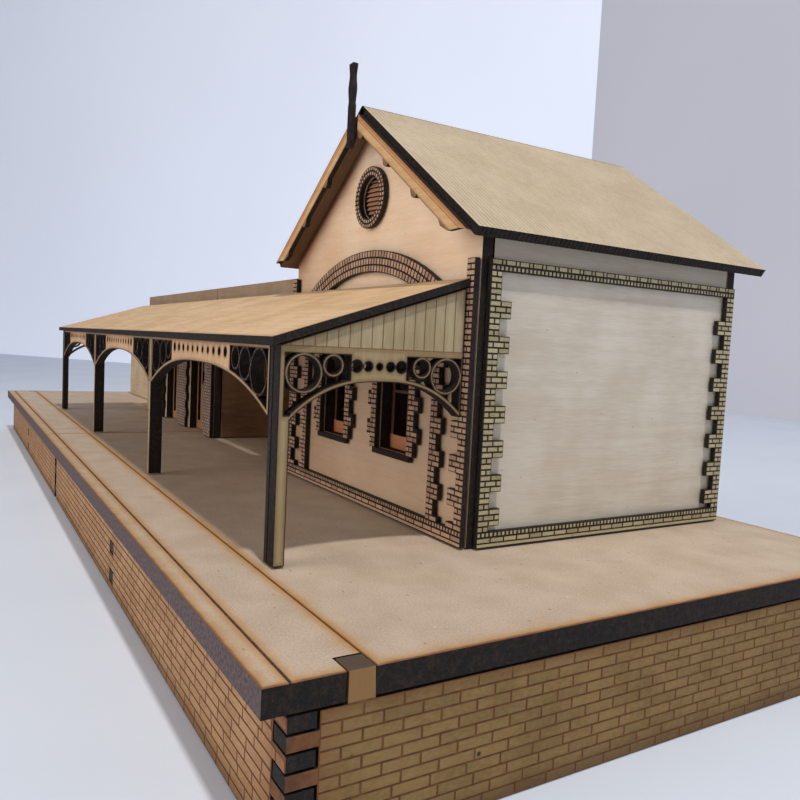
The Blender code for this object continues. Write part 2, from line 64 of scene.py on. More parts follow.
# brickwork of the thin overlays and of the platform's walls
COURSE, BRICK, JOINT, DEEP_JOINT = 0.89, 2.1, 0.19, 0.26
PLAIN_BAND = 1.02
TEXTURE_PITCH, DENTIL = 2.66, 0.8
WALL_COURSES, WALL_BRICK, WALL_JOINT = 11, 4.6, 0.17
ARCH_RADIUS, ARCH_RING, ARCH_SPAN = 49.6, 4.0, 49.0
VENT_RADIUS, VENT_RING = 3.9, 1.8
# engraved and fretted work
GROOVE_V = 2.8
ROOF_SHEET, ROOF_PITCH = 1.5, 0.85
RING_WIDTH, FRONT_RING = 0.48, 0.38
SCREEN_RINGS = (3.4, 2.5, 1.8)
END_RINGS = (2.8, 1.65)
CROWN_RISE, END_CROWN_RISE = 6.1, 5.3       # arches, above their feet
HOLE_STEP, END_HOLE_STEP = 3.1, 1.82
BAND, RING_INSET = 0.7, 0.8                 # bars of the front screens, and their rings' start
CORNER_WIDTH = 16.9                         # of a front screen's ringed corner
LEG_WIDTH = 1.7
JOINT_FILL = 0.11       # each sheet's share of a glued joint, leaving a hairline
EDGE_WEAR = 0.08
BOARD_PITCH = 1.75
SASH_RAIL = 14.5        # top of the windows' bottom rail
VERANDAH_SHADE = (42.0, 32.0)    # painted shade on the gable wall under the verandah roof, from the first height to the second
SLATS, SLAT_DEPTH, SLAT_V, SLAT_TILT, SLAT_BACK = 9, 0.55, 45.2, 0.05, 1.2


def world(u, v, h):
    u, v, h = np.broadcast_arrays(u, v, h)
    return np.stack([U0 - u * MM, V0 + v * MM, H0 + h * MM], axis=-1)


def points(node):
    """A CAD node's vertices as (u, v, h) rows."""
    mesh = frame["nodes"][node].data
    co = np.zeros(len(mesh.vertices) * 3)
    mesh.vertices.foreach_get("co", co)
    co = co.reshape(-1, 3)
    return np.stack([(U0 - co[:, 0]) / MM, (co[:, 1] - V0) / MM, (co[:, 2] - H0) / MM], 1)


def extent(node):
    at = points(node)
    return at.min(0), at.max(0)


# ---- faces -------------------------------------------------
def facing_end(at):
    return lambda a, b, c: world(at - c, a, b)


def facing_far(at):
    return lambda a, b, c: world(at + c, a, b)


def facing_track(at):
    return lambda a, b, c: world(a, at - c, b)


def facing_rear(at):
    return lambda a, b, c: world(a, at + c, b)


def facing_up(at):
    return lambda a, b, c: world(a, b, at + c)


def right_handed(face):
    """True where a turned to b turns anticlockwise seen from outside."""
    o, a, b, c = (face(*p) for p in ((0, 0, 0), (1, 0, 0), (0, 1, 0), (0, 0, 1)))
    return float(np.dot(np.cross(a - o, b - o), c - o)) > 0


# ---- mesh building -----------------------------------------
def shell(name, verts, quads, finish, stands_for=(), per_point=None, per_face=None):
    mesh = bpy.data.meshes.new(name)
    mesh.from_pydata(verts.reshape(-1, 3).tolist(), [], quads.tolist())
    for label, values, domain in ((k, v, "POINT") for k, v in (per_point or {}).items()):
        mesh.attributes.new(label, "FLOAT", domain).data.foreach_set(
            "value", np.asarray(values, np.float32).ravel())
    for label, values in (per_face or {}).items():
        mesh.attributes.new(label, "FLOAT", "FACE").data.foreach_set(
            "value", np.asarray(values, np.float32).ravel())
    mesh.materials.append(finish)
    piece = bpy.data.objects.new(name, mesh)
    bpy.context.scene.collection.objects.link(piece)
    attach(piece, "root")
    if stands_for:
        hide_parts(*stands_for)
    return piece


def blocks(name, face, corners, finish, proud=0.08, sunk=0.03, ease=0.05, seed=1):
    """Raised blocks, such as bricks. corners is (n, 4, 2), in order round each block.

    Each block's foot is its outline, sunk into the sheet, and its top is the same
    outline drawn in by ease along both of its own directions.
    """
    count = len(corners)
    along = (corners[:, 1] - corners[:, 0] + corners[:, 2] - corners[:, 3]) / 2
    across = (corners[:, 3] - corners[:, 0] + corners[:, 2] - corners[:, 1]) / 2
    unit_a = along / np.linalg.norm(along, axis=1, keepdims=True)
    unit_b = across / np.linalg.norm(across, axis=1, keepdims=True)
    signs = np.array([(-1, -1), (1, -1), (1, 1), (-1, 1)])
    inset = signs[None, :, :1] * unit_a[:, None] + signs[None, :, 1:] * unit_b[:, None]
    top = corners - inset * ease
    foot = face(corners[..., 0], corners[..., 1], -sunk)
    head = face(top[..., 0], top[..., 1], proud)
    verts = np.concatenate([foot, head], axis=1)
    pattern = np.array([(3, 2, 1, 0), (4, 5, 6, 7), (0, 1, 5, 4), (1, 2, 6, 5),
                        (2, 3, 7, 6), (3, 0, 4, 7)])
    quads = (pattern[None] + 8 * np.arange(count)[:, None, None]).reshape(-1, 4)
    turn = np.cross(along, across)
    clockwise = (turn < 0) == right_handed(face)
    flip = np.repeat(clockwise, 6)
    quads[flip] = quads[flip][:, ::-1]
    tone = np.repeat(np.random.default_rng(seed).random(count), 6)
    return shell(name, verts, quads, finish, per_face={"tone": tone})


def cut_sheet(name, face, a, b, keep, relief, thick, finish, stands_for=(), rim=None):
    """A sheet on a grid: a, b and relief give each grid point, keep says which cells are solid.

    The front follows relief, the back is flat at -thick, and a wall stands wherever a
    kept cell meets a dropped one.
    """
    rows, cols = a.shape
    padded = np.zeros((rows + 1, cols + 1), bool)
    padded[1:-1, 1:-1] = keep
    index = np.arange(rows * cols).reshape(rows, cols)
    back = index + rows * cols
    i, j = np.nonzero(keep)
    front = np.stack([index[i, j], index[i + 1, j], index[i + 1, j + 1], index[i, j + 1]], 1)
    rear = np.stack([back[i, j], back[i, j + 1], back[i + 1, j + 1], back[i + 1, j]], 1)
    walls = []
    for one, other, step in ((padded[:-1, 1:-1], padded[1:, 1:-1], (0, 1)),
                             (padded[1:-1, :-1], padded[1:-1, 1:], (1, 0))):
        for solid_first in (True, False):
            edge = (one & ~other) if solid_first else (other & ~one)
            i, j = np.nonzero(edge)
            p, q = (i, j), (i + step[0], j + step[1])
            if solid_first == (step == (1, 0)):
                p, q = q, p
            walls.append(np.stack([index[p], index[q], back[q], back[p]], 1))
    quads = np.concatenate([front, rear, *walls])
    if not right_handed(face):
        quads = quads[:, ::-1]
    used, quads = np.unique(quads, return_inverse=True)
    quads = quads.reshape(-1, 4)
    verts = np.concatenate([face(a, b, relief).reshape(-1, 3),
                            face(a, b, -thick).reshape(-1, 3)])[used]
    edge = np.ones(a.shape) if rim is None else rim
    edge = np.concatenate([edge.ravel(), edge.ravel()])[used]
    return shell(name, verts, quads, finish, stands_for, per_point={"rim": edge})


def fretwork(name, face, a_range, b_range, step, field, thick, finish, stands_for=()):
    """A sheet cut along the zero line of field(a, b), which is negative in the wood.

    Grid cells whose middles are in the wood are kept, and the corners on their rim are
    carried down the field's slope onto the zero line.
    """
    a, b = np.meshgrid(np.arange(a_range[0] - step, a_range[1] + 2 * step, step),
                       np.arange(b_range[0] - step, b_range[1] + 2 * step, step), indexing="ij")
    middle_a, middle_b = (a[:-1, :-1] + a[1:, 1:]) / 2, (b[:-1, :-1] + b[1:, 1:]) / 2
    keep = field(middle_a, middle_b) < 0
    around = np.zeros(a.shape, int)
    around[:-1, :-1] += keep
    around[1:, :-1] += keep
    around[:-1, 1:] += keep
    around[1:, 1:] += keep
    on_rim = (around > 0) & (around < 4)
    start_a, start_b, tiny = a.copy(), b.copy(), step * 0.02
    for _ in range(4):
        level = field(a, b)
        slope_a = (field(a + tiny, b) - field(a - tiny, b)) / (2 * tiny)
        slope_b = (field(a, b + tiny) - field(a, b - tiny)) / (2 * tiny)
        scale = level / (slope_a ** 2 + slope_b ** 2 + 0.05)
        a = np.where(on_rim, np.clip(a - scale * slope_a, start_a - step * 0.6,
                                     start_a + step * 0.6), a)
        b = np.where(on_rim, np.clip(b - scale * slope_b, start_b - step * 0.6,
                                     start_b + step * 0.6), b)
    depth = np.where(on_rim, 0.0, np.maximum(-field(a, b), 0.0))
    return cut_sheet(name, face, a, b, keep, np.zeros(a.shape), thick, finish,
                     stands_for, depth)


# ---- shapes in a face's plane, as signed distances ---------
def disc(a, b, centre, radius):
    return np.hypot(a - centre[0], b - centre[1]) - radius


def ring(a, b, centre, radius, width):
    return np.abs(disc(a, b, centre, radius)) - width / 2


def bar(a, b, low, high):
    """A rectangle from low to high, as the largest of the four distances to its sides."""
    return np.maximum.reduce([low[0] - a, a - high[0], low[1] - b, b - high[1]])


# ---- finishes ----------------------------------------------
def srgb(red, green, blue):
    linear = [(c / 255 / 12.92) if c <= 10 else ((c / 255 + 0.055) / 1.055) ** 2.4
              for c in (red, green, blue)]
    return (*linear, 1.0)


class Finish:
    """A material under construction: sockets for u, v, h and the facing, and its colour."""

    def __init__(self, name, roughness=0.75, specular=0.3):
        self.mat = bpy.data.materials.new(name)
        self.mat.use_nodes = True
        self.tree = self.mat.node_tree
        self.shader = self.tree.nodes["Principled BSDF"]
        self.shader.inputs["Roughness"].default_value = roughness
        self.shader.inputs["Specular IOR Level"].default_value = specular
        where = self.node("ShaderNodeTexCoord").outputs["Object"]
        scaled = self.node("ShaderNodeVectorMath", {0: where}, operation="SCALE")
        scaled.inputs["Scale"].default_value = 1 / MM
        self.place = scaled.outputs[0]
        x, y, z = self.split(self.place)
        self.u = self.math("SUBTRACT", U0 / MM, x)
        self.v = self.math("SUBTRACT", y, V0 / MM)
        self.h = self.math("SUBTRACT", z, H0 / MM)
        self.nx, self.ny, self.nz = self.split(
            self.node("ShaderNodeNewGeometry").outputs["True Normal"])
        self.colour = None
        self.height = None

    def node(self, kind, inputs=None, **settings):
        made = self.tree.nodes.new(kind)
        for key, value in settings.items():
            setattr(made, key, value)
        for key, value in (inputs or {}).items():
            if isinstance(value, bpy.types.NodeSocket):
                self.tree.links.new(value, made.inputs[key])
            else:
                made.inputs[key].default_value = value
        return made

    def split(self, vector):
        return self.node("ShaderNodeSeparateXYZ", {0: vector}).outputs

    def math(self, operation, a, b=0.0):
        return self.node("ShaderNodeMath", {0: a, 1: b}, operation=operation).outputs[0]

    def add(self, *values):
        total = values[0]
        for value in values[1:]:
            total = self.math("ADD", total, value)
        return total

    def most(self, *values):
        total = values[0]
        for value in values[1:]:
            total = self.math("MAXIMUM", total, value)
        return total

    def times(self, a, b):
        return self.math("MULTIPLY", a, b)

    def ramp(self, value, start, end, low=0.0, high=1.0):
        """low up to start, high from end, and smooth between."""
        made = self.node("ShaderNodeMapRange", {0: value, 1: start, 2: end, 3: low, 4: high},
                         interpolation_type="SMOOTHSTEP")
        return made.outputs[0]

    def noise(self, size, detail=2.0, stretch=(1, 1, 1), shift=0.0):
        """Cloudy noise with features about size millimetres across, longer where stretched."""
        scale = tuple(1 / (size * s) for s in stretch)
        at = self.node("ShaderNodeMapping", {0: self.place, "Scale": scale,
                                             "Location": (shift, shift * 1.7, shift * 0.6)})
        made = self.node("ShaderNodeTexNoise", {"Vector": at.outputs[0], "Scale": 1.0,
                                                "Detail": detail, "Roughness": 0.55})
        return made.outputs[0]

    def specks(self, size, share, stretch=(1, 1, 1)):
        """Small scattered dots, one chance in each size-wide cell."""
        scale = tuple(1 / (size * s) for s in stretch)
        at = self.node("ShaderNodeMapping", {0: self.place, "Scale": scale})
        made = self.node("ShaderNodeTexVoronoi", {"Vector": at.outputs[0], "Scale": 1.0})
        return self.ramp(made.outputs["Distance"], share, share * 0.4)

    def attribute(self, name):
        return self.node("ShaderNodeAttribute", attribute_name=name).outputs["Fac"]

    def near(self, coordinate, at, reach):
        """1 on the line where coordinate is at, falling to 0 at reach from it."""
        away = self.math("ABSOLUTE", self.math("SUBTRACT", coordinate, at))
        return self.ramp(away, reach, 0.0)

    def facing(self, normal, share=0.7):
        """1 on faces whose normal lies along the given component, either way."""
        return self.math("GREATER_THAN", self.math("ABSOLUTE", normal), share)

    def mix(self, share, a, b):
        made = self.node("ShaderNodeMix", data_type="RGBA")
        for socket, value in ((made.inputs[0], share), (made.inputs[6], a), (made.inputs[7], b)):
            if isinstance(value, bpy.types.NodeSocket):
                self.tree.links.new(value, socket)
            else:
                socket.default_value = value
        return made.outputs[2]

    def over(self, share, colour):
        """Lays a colour over what is there, by share."""
        self.colour = self.mix(share, self.colour, colour)

    def done(self, bump=0.02, rough=(0.65, 0.85)):
        links = self.tree.links
        links.new(self.colour, self.shader.inputs["Base Color"])
        if self.height is not None:
            made = self.node("ShaderNodeBump", {"Height": self.height, "Distance": bump * MM,
                                                "Strength": 1.0})
            links.new(made.outputs[0], self.shader.inputs["Normal"])
            links.new(self.ramp(self.height, 0.2, 0.8, *rough), self.shader.inputs["Roughness"])
        return self.mat


CHAR, CHAR_BROWN = srgb(24, 20, 19), srgb(48, 35, 28)
SCORCH = srgb(108, 62, 34)


def wood(name, pale, deep, along="u"):
    """Bare sheet wood: long fine grain, slow clouds of tone, and a few specks."""
    f = Finish(name)
    stretch = {"u": (14, 1, 1), "v": (1, 14, 1), "h": (1, 1, 14), "none": (1, 1, 1)}[along]
    grain = f.noise(0.22, 4.0, stretch)
    streak = f.noise(1.1, 2.0, stretch, 3.1)
    cloud = f.noise(11.0, 2.0, (1, 1, 1), 7.7)
    shares = 0.4, 0.35, 0.5
    tone = f.add(*(f.times(*pair) for pair in zip((grain, streak, cloud), shares)))
    middle = sum(shares) / 2
    f.colour = f.mix(f.ramp(tone, middle - 0.2, middle + 0.2), pale, deep)
    f.over(f.times(f.specks(2.6, 0.07), 0.5), srgb(96, 70, 52))
    f.height = f.add(f.times(grain, 0.7), f.times(streak, 0.3))
    return f


def charred(f, share, brown=0.35):
    """Burnt black where share is 1, with browner and greyer streaks."""
    burnt = f.mix(f.ramp(f.noise(0.7, 3.0), 0.42, 0.72), CHAR, CHAR_BROWN)
    burnt = f.mix(f.times(f.ramp(f.noise(0.25, 2.0), 0.55, 0.8), brown), burnt, srgb(92, 80, 76))
    f.over(share, burnt)


def platform_finish(name):
    """Fibreboard with amber scorch beside every cut and black or smoky cut edges."""
    f = Finish(name, specular=0.25)
    fibre = f.noise(0.28, 5.0)
    cloud = f.noise(7.0, 3.0, (1, 1, 1), 2.2)
    f.colour = f.mix(f.ramp(f.add(f.times(fibre, 0.6), f.times(cloud, 0.4)), 0.36, 0.64),
                     srgb(209, 190, 169), srgb(189, 168, 147))
    f.over(f.times(f.specks(1.9, 0.10, (2.5, 1, 1)), 0.5), srgb(128, 102, 80))
    f.over(f.times(f.specks(3.7, 0.05), 0.7), srgb(238, 226, 206))
    wander = f.ramp(f.noise(2.2, 3.0, (1, 1, 1), 5.0), 0.3, 0.7, 0.75, 1.25)
    length, depth = extent("top_far")[1][0], extent("top_near")[1][1]
    joint_v, joint_u = extent("coping_near")[1][1] + 0.15, extent("coping_near")[1][0] + 0.15
    strip_only = f.math("LESS_THAN", f.v, joint_v)
    lines = [(f.u, 0.0, 1.0), (f.u, length, 1.0), (f.v, depth, 1.0), (f.v, 0.0, 0.9),
             (f.v, GROOVE_V, 0.62), (f.v, joint_v, 0.72), (f.u, joint_u, 0.6)]
    for reach, colour, share in ((3.8, srgb(196, 150, 92), 0.42), (1.9, srgb(184, 132, 70), 0.62),
                                 (0.6, SCORCH, 0.85)):
        halo = 0.0
        for where, at, size in lines:
            band = f.ramp(f.math("ABSOLUTE", f.math("SUBTRACT", where, at)),
                          f.times(wander, reach * size), 0.0)
            if where is f.v and at == GROOVE_V:
                band = f.times(band, strip_only)
            halo = f.most(band, halo)
        f.over(f.times(f.math("POWER", halo, 1.6), share), colour)
    for where, at in ((f.v, GROOVE_V), (f.v, joint_v), (f.u, joint_u)):
        f.over(f.times(f.near(where, at, 1.5), 0.4), srgb(196, 142, 82))
        f.over(f.times(f.near(where, at, 0.26), 0.9), srgb(92, 58, 36))
    sides = f.math("SUBTRACT", 1.0, f.facing(f.nz))
    charred(f, sides, 0.3)
    smoky = f.mix(f.ramp(f.noise(0.5, 3.0), 0.3, 0.7), srgb(84, 70, 74), srgb(118, 100, 98))
    f.over(f.times(f.math("GREATER_THAN", f.times(f.ny, -1.0), 0.7), 0.9), smoky)
    f.height = fibre
    return f.done(0.03)


def wall_groove_finish(name, along_track):
    """Engraved joints of the platform's brick walls, with charred edges and finger ends."""
    f = Finish(name)
    f.colour = f.mix(f.ramp(f.noise(1.4, 3.0), 0.35, 0.65), srgb(98, 62, 38), srgb(122, 80, 48))
    tenon = f.math("GREATER_THAN", f.h, -3.2)
    f.over(tenon, srgb(146, 110, 68))
    f.over(f.times(tenon, f.facing(f.nz)), srgb(92, 76, 66))
    engraved = f.facing(f.ny if along_track else f.nx)
    charred(f, f.math("SUBTRACT", 1.0, f.most(engraved, tenon)), 0.3)
    f.height = f.noise(0.4, 3.0)
    return f.done(0.02)


def wall_brick_finish(name, pale, deep, axis):
    """Bricks left standing between the joints, each its own tone, browner at their rims."""
    f = Finish(name)
    tone = f.attribute("tone")
    grain = f.noise(0.35, 4.0, (2, 2, 1))
    cloud = f.noise(9.0, 2.0, (1, 1, 1), 4.0)
    mixed = f.add(f.times(tone, 0.12), f.times(grain, 0.4), f.times(cloud, 0.6))
    f.colour = f.mix(f.ramp(mixed, 0.4, 0.75), pale, deep)
    out = f.facing(f.nx if axis == "x" else f.ny, 0.95)
    f.over(f.times(f.math("SUBTRACT", 1.0, out), 0.7), srgb(104, 66, 38))
    low = extent("end_wall_near")[0][2]
    f.over(f.times(f.near(f.h, low, 3.4), 0.6), srgb(84, 54, 32))
    # painted shade: darker just under the coping's overhang
    f.over(f.times(f.near(f.h, -3.3, 1.6), 0.5), srgb(104, 68, 38))
    f.over(f.times(f.ramp(f.add(f.u, f.v), 12.0, 3.0), 0.5), srgb(120, 66, 40))
    f.over(f.times(f.specks(9.0, 0.05), 0.9), CHAR)
    f.height = grain
    return f.done(0.02)


def overlay_brick_finish(name, pale, deep, axis):
    f = Finish(name)
    tone = f.attribute("tone")
    grain = f.noise(0.2, 3.0)
    f.colour = f.mix(f.ramp(f.add(f.times(tone, 0.25), f.times(grain, 0.75)), 0.3, 0.75), pale, deep)
    out = f.facing(f.nx if axis == "x" else f.ny, 0.95)
    f.over(f.times(f.math("SUBTRACT", 1.0, out), 0.85), CHAR_BROWN)
    f.over(f.times(f.specks(1.6, 0.12), 0.7), CHAR)
    f.height = grain
    return f.done(0.015)


def char_finish(name):
    f = Finish(name, roughness=0.6)
    f.colour = f.mix(0.0, CHAR, CHAR)
    charred(f, 1.0, 0.4)
    f.height = f.noise(0.4, 3.0)
    return f.done(0.03, (0.5, 0.75))


def sheet_finish(name, axis, pale, deep, along="u", extra=None):
    """A plywood sheet: wood on its two faces and laminated char on its cut edges."""
    f = wood(name, pale, deep, along)
    if extra:
        extra(f)
    normal = {"x": f.nx, "y": f.ny, "z": f.nz}[axis]
    edge = f.math("SUBTRACT", 1.0, f.facing(normal))
    charred(f, edge, 0.5)
    return f.done(0.02)


def fret_finish(name, pale, deep, extra=None, along="h"):
    """Fretted plywood: the rim attribute is the distance to the nearest cut."""
    f = wood(name, pale, deep, along)
    if extra:
        extra(f)
    rim = f.attribute("rim")
    f.over(f.times(f.ramp(rim, 0.8, 0.1), 0.55), srgb(112, 82, 52))
    charred(f, f.ramp(rim, 0.2, 0.08), 0.4)
    return f.done(0.02)


# ---- bricks ------------------------------------------------
def face_triangles(node, outward):
    """The triangles of a node's outermost face, as (n, 3, 2) in that face's plane."""
    mesh = frame["nodes"][node].data
    mesh.calc_loop_triangles()
    index = np.zeros(len(mesh.loop_triangles) * 3, int)
    mesh.loop_triangles.foreach_get("vertices", index)
    tri = points(node)[index].reshape(-1, 3, 3)
    axis, sign = outward
    depth = tri[..., axis] * sign
    flat = (depth > depth.max() - 0.01).all(1)
    return tri[flat][..., [1, 2] if axis == 0 else [0, 2]]


def crossings(tri, b):
    """Where a level line crosses the sheet, as merged (start, end) pairs."""
    p, q = tri, np.roll(tri, -1, axis=1)
    hit = (p[..., 1] - b) * (q[..., 1] - b) < 0
    with np.errstate(divide="ignore", invalid="ignore"):
        a = p[..., 0] + (b - p[..., 1]) / (q[..., 1] - p[..., 1]) * (q[..., 0] - p[..., 0])
    low = np.where(hit, a, np.inf).min(1)
    high = np.where(hit, a, -np.inf).max(1)
    merged = []
    for start, end in sorted(zip(low[hit.any(1)], high[hit.any(1)])):
        if merged and start < merged[-1][1] + 0.02:
            merged[-1][1] = max(merged[-1][1], end)
        else:
            merged.append([start, end])
    return merged


def clipped(spans, others):
    out = []
    for a0, a1 in spans:
        for b0, b1 in others:
            if min(a1, b1) - max(a0, b0) > 0.05:
                out.append((max(a0, b0), min(a1, b1)))
    return out


def one_row(spans, b0, b1, joint, bond, offset=0.0, outer=None):
    """Bricks of one course: bond is the repeating list of lengths along it."""
    cells = []
    for start, end in spans:
        back = outer is not None and abs(end - outer[1]) < abs(start - outer[0])
        cuts, at, k = [0.0], -offset, 0
        while at < end - start:
            at += bond[k % len(bond)]
            k += 1
            if at > 0.05:
                cuts.append(min(at, end - start))
        for low, high in zip(cuts, cuts[1:]):
            if high - low > joint + 0.2:
                one, two = (end - high, end - low) if back else (start + low, start + high)
                cells.append((one + joint / 2, two - joint / 2, b0 + joint / 2, b1 - joint / 2))
    return cells


def coursed(node, outward, first, last, course, brick, joint, skip=None, phase=0):
    """Running bond over a node's whole face, from first up to last."""
    tri = face_triangles(node, outward)
    outer = (tri[..., 0].min(), tri[..., 0].max())
    cells = []
    for row in range(int(round((last - first) / course))):
        b0, b1 = first + row * course, first + (row + 1) * course
        spans = crossings(tri, b0 + 0.12 * course)
        for level in (0.5, 0.88):
            spans = clipped(spans, crossings(tri, b0 + level * course))
        offset = brick / 2 if (row + phase) % 2 else 0.0
        cells += one_row(spans, b0, b1, joint, [brick], offset, outer)
    cells = np.array(cells)
    if skip is not None:
        cells = cells[~skip((cells[:, 0] + cells[:, 1]) / 2, (cells[:, 2] + cells[:, 3]) / 2)]
    return cells


def corners_of(cells):
    a0, a1, b0, b1 = np.asarray(cells).T
    return np.stack([np.stack(p, -1) for p in ((a0, b0), (a1, b0), (a1, b1), (a0, b1))], 1)


def fan(centre, radii, start, end, pitch, joint):
    """Headers set round a centre: each is a small sector between two radii and two angles."""
    cells = []
    for inner, outer in zip(radii, radii[1:]):
        count = max(3, int(round((end - start) * (inner + outer) / 2 / pitch)))
        angle = np.linspace(start, end, count + 1)
        gap = joint / (inner + outer)
        one, two = angle[:-1] + gap, angle[1:] - gap
        r0, r1 = inner + joint / 2, outer - joint / 2
        sector = [np.stack([centre[0] + r * np.cos(t), centre[1] + r * np.sin(t)], -1)
                  for r, t in ((r0, one), (r1, one), (r1, two), (r0, two))]
        cells.append(np.stack(sector, 1))
    return np.concatenate(cells)


END, FAR, TRACK, REAR = (0, -1), (0, 1), (1, -1), (1, 1)
FACE_OF = {END: facing_end, FAR: facing_far, TRACK: facing_track, REAR: facing_rear}


def face_for(node, outward):
    axis, sign = outward
    at = points(node)[:, axis] * sign
    return FACE_OF[outward](at.max() * sign)


def lay_platform_bricks(finishes):
    """Even courses round the platform, on the outside of its four walls."""
    for node, outward in (("end_wall_near", END), ("end_wall_far", FAR), ("rear_wall_near", REAR),
                          ("rear_wall_far", REAR), ("track_wall_near", TRACK),
                          ("track_wall_far", TRACK)):
        low, top = extent(node)[0][2], extent("rib_1")[1][2]
        cells = coursed(node, outward, low, top, (top - low) / WALL_COURSES, WALL_BRICK,
                        WALL_JOINT)
        # the end walls take a darker copy of the same bricks, painted shade
        lit_copy = outward in (TRACK, REAR)
        blocks(node + "_bricks", face_for(node, outward), corners_of(cells),
               finishes["track_brick" if lit_copy else "end_brick_painted_shade"], 0.07,
               seed=len(cells))


def overlay_rows(node, outward, last, phase, skip=None):
    """A corner-to-corner overlay up to last: plain band, stretchers, dentils, then courses.

    Gives the cells, and the overlay's whole width as the one span of a further row.
    """
    tri = face_triangles(node, outward)
    low, high = tri.reshape(-1, 2).min(0), tri.reshape(-1, 2).max(0)
    base = PLAIN_BAND + 2 * COURSE
    whole = [(low[0], high[0])]
    cells = [(low[0] + 0.1, high[0] - 0.1, low[1] + 0.12, PLAIN_BAND - 0.06)]
    cells += one_row(whole, PLAIN_BAND, PLAIN_BAND + COURSE, JOINT, [TEXTURE_PITCH])
    cells += one_row(whole, PLAIN_BAND + COURSE, base, DEEP_JOINT, [DENTIL])
    rows = coursed(node, outward, base, last, COURSE, BRICK, JOINT, skip, phase)
    return cells + rows.tolist(), whole


def lay_overlay_bricks(finishes):
    """Pale bricks on every thin overlay: quoins, base, frieze, piers, surrounds and rings."""
    side_top = extent("side_overlay")[1][2]
    frieze = side_top - 2 * COURSE
    cells, whole = overlay_rows("side_overlay", END, frieze, 1)
    cells += one_row(whole, frieze, frieze + COURSE, DEEP_JOINT, [DENTIL])
    cells += one_row(whole, frieze + COURSE, frieze + 2 * COURSE, JOINT, [1.9, 0.76])
    blocks("side_overlay_bricks", face_for("side_overlay", END), corners_of(cells),
           finishes["side_brick"], seed=11)

    low, high = extent("front_overlay")
    middle = (low[0] + high[0]) / 2
    arch_top = high[2]
    centre = (middle, arch_top - ARCH_RADIUS)
    half = ARCH_SPAN / 2
    spring = centre[1] + math.sqrt((ARCH_RADIUS - ARCH_RING) ** 2 - half ** 2)

    def in_arch(a, b):
        return (np.abs(a - middle) < half + 3.6) & (b > spring - 0.4)

    cells, _ = overlay_rows("front_overlay", TRACK, side_top, 0, in_arch)
    lean = math.acos((half + 1.2) / (ARCH_RADIUS - ARCH_RING / 2))
    radii = np.linspace(ARCH_RADIUS - ARCH_RING, ARCH_RADIUS, 4)
    arch = fan(centre, radii, lean, math.pi - lean, 1.05, 0.24)
    blocks("front_overlay_bricks", face_for("front_overlay", TRACK),
           np.concatenate([corners_of(cells), arch]), finishes["front_brick"], seed=12)

    for label in ("near", "far"):
        node = "surround_" + label
        low, high = extent(node)
        cells = coursed(node, TRACK, low[2] + 1.0, high[2], COURSE, BRICK, JOINT)
        blocks(node + "_bricks", face_for(node, TRACK), corners_of(cells),
               finishes["front_brick"], seed=13)

    low, high = extent("vent_ring")
    centre = ((low[0] + high[0]) / 2, (low[2] + high[2]) / 2)
    rings = fan(centre, (VENT_RADIUS + 0.1, VENT_RADIUS + 0.95, VENT_RADIUS + VENT_RING),
                0.0, 2 * math.pi, 0.85, 0.24)
    blocks("vent_ring_bricks", face_for("vent_ring", TRACK), rings, finishes["front_brick"],
           seed=14)

    low, high = extent("block_overlay")
    cells = coursed("block_overlay", TRACK, low[2] + 0.2, high[2], COURSE, BRICK, JOINT)
    blocks("block_overlay_bricks", face_for("block_overlay", TRACK), corners_of(cells),
           finishes["block_brick"], seed=15)


# ---- platform ----------------------------------------------
def grid_lines(*values):
    return np.unique(np.round(np.concatenate([np.atleast_1d(v) for v in values]), 4))


def all_cells(a):
    return np.ones((a.shape[0] - 1, a.shape[1] - 1), bool)


def into_joint(node, near_end):
    """A half of the platform's top, reaching into the joint between the two halves."""
    low, high = extent(node)
    if near_end:
        high[0] += JOINT_FILL
    else:
        low[0] -= JOINT_FILL
    return low, high


def lay_coping(node, end_wall, finish):
    """The strip along the track edge: flat, but for one engraved groove along it.

    Across the strip its height is 0 with a V of depth 0.3 at the groove, and a notch
    is left out round the end wall's tenon.
    """
    tenon = points(end_wall)
    tenon = tenon[tenon[:, 2] > -0.5]
    near_end = tenon[:, 0].min() < 10
    low, high = into_joint(node, near_end)
    high[1] += JOINT_FILL
    u_cut = tenon[:, 0].max() + 0.3 if near_end else tenon[:, 0].min() - 0.3
    v_cut = tenon[:, 1].min() - 0.3
    along = grid_lines(low[0], high[0], u_cut, low[0] + 0.12, high[0] - 0.12,
                       np.linspace(low[0], high[0], 24))
    across = grid_lines(low[1], low[1] + 0.12, GROOVE_V - 0.16, GROOVE_V, GROOVE_V + 0.16, v_cut,
                        high[1] - 0.1, high[1])
    a, b = np.meshgrid(along, across, indexing="ij")
    relief = np.where(np.abs(b - GROOVE_V) < 0.01, -0.3, 0.0)
    worn = (b < low[1] + 0.01) | (b > high[1] - 0.01) | (a < low[0] + 0.01) | (a > high[0] - 0.01)
    relief = np.where(worn, -EDGE_WEAR, relief)
    mid_a, mid_b = (a[:-1, :-1] + a[1:, 1:]) / 2, (b[:-1, :-1] + b[1:, 1:]) / 2
    beside = mid_a < u_cut if near_end else mid_a > u_cut
    cut_sheet(node + "_strip", facing_up(high[2]), a, b, ~(beside & (mid_b > v_cut)), relief,
              high[2] - low[2], finish, (node,))


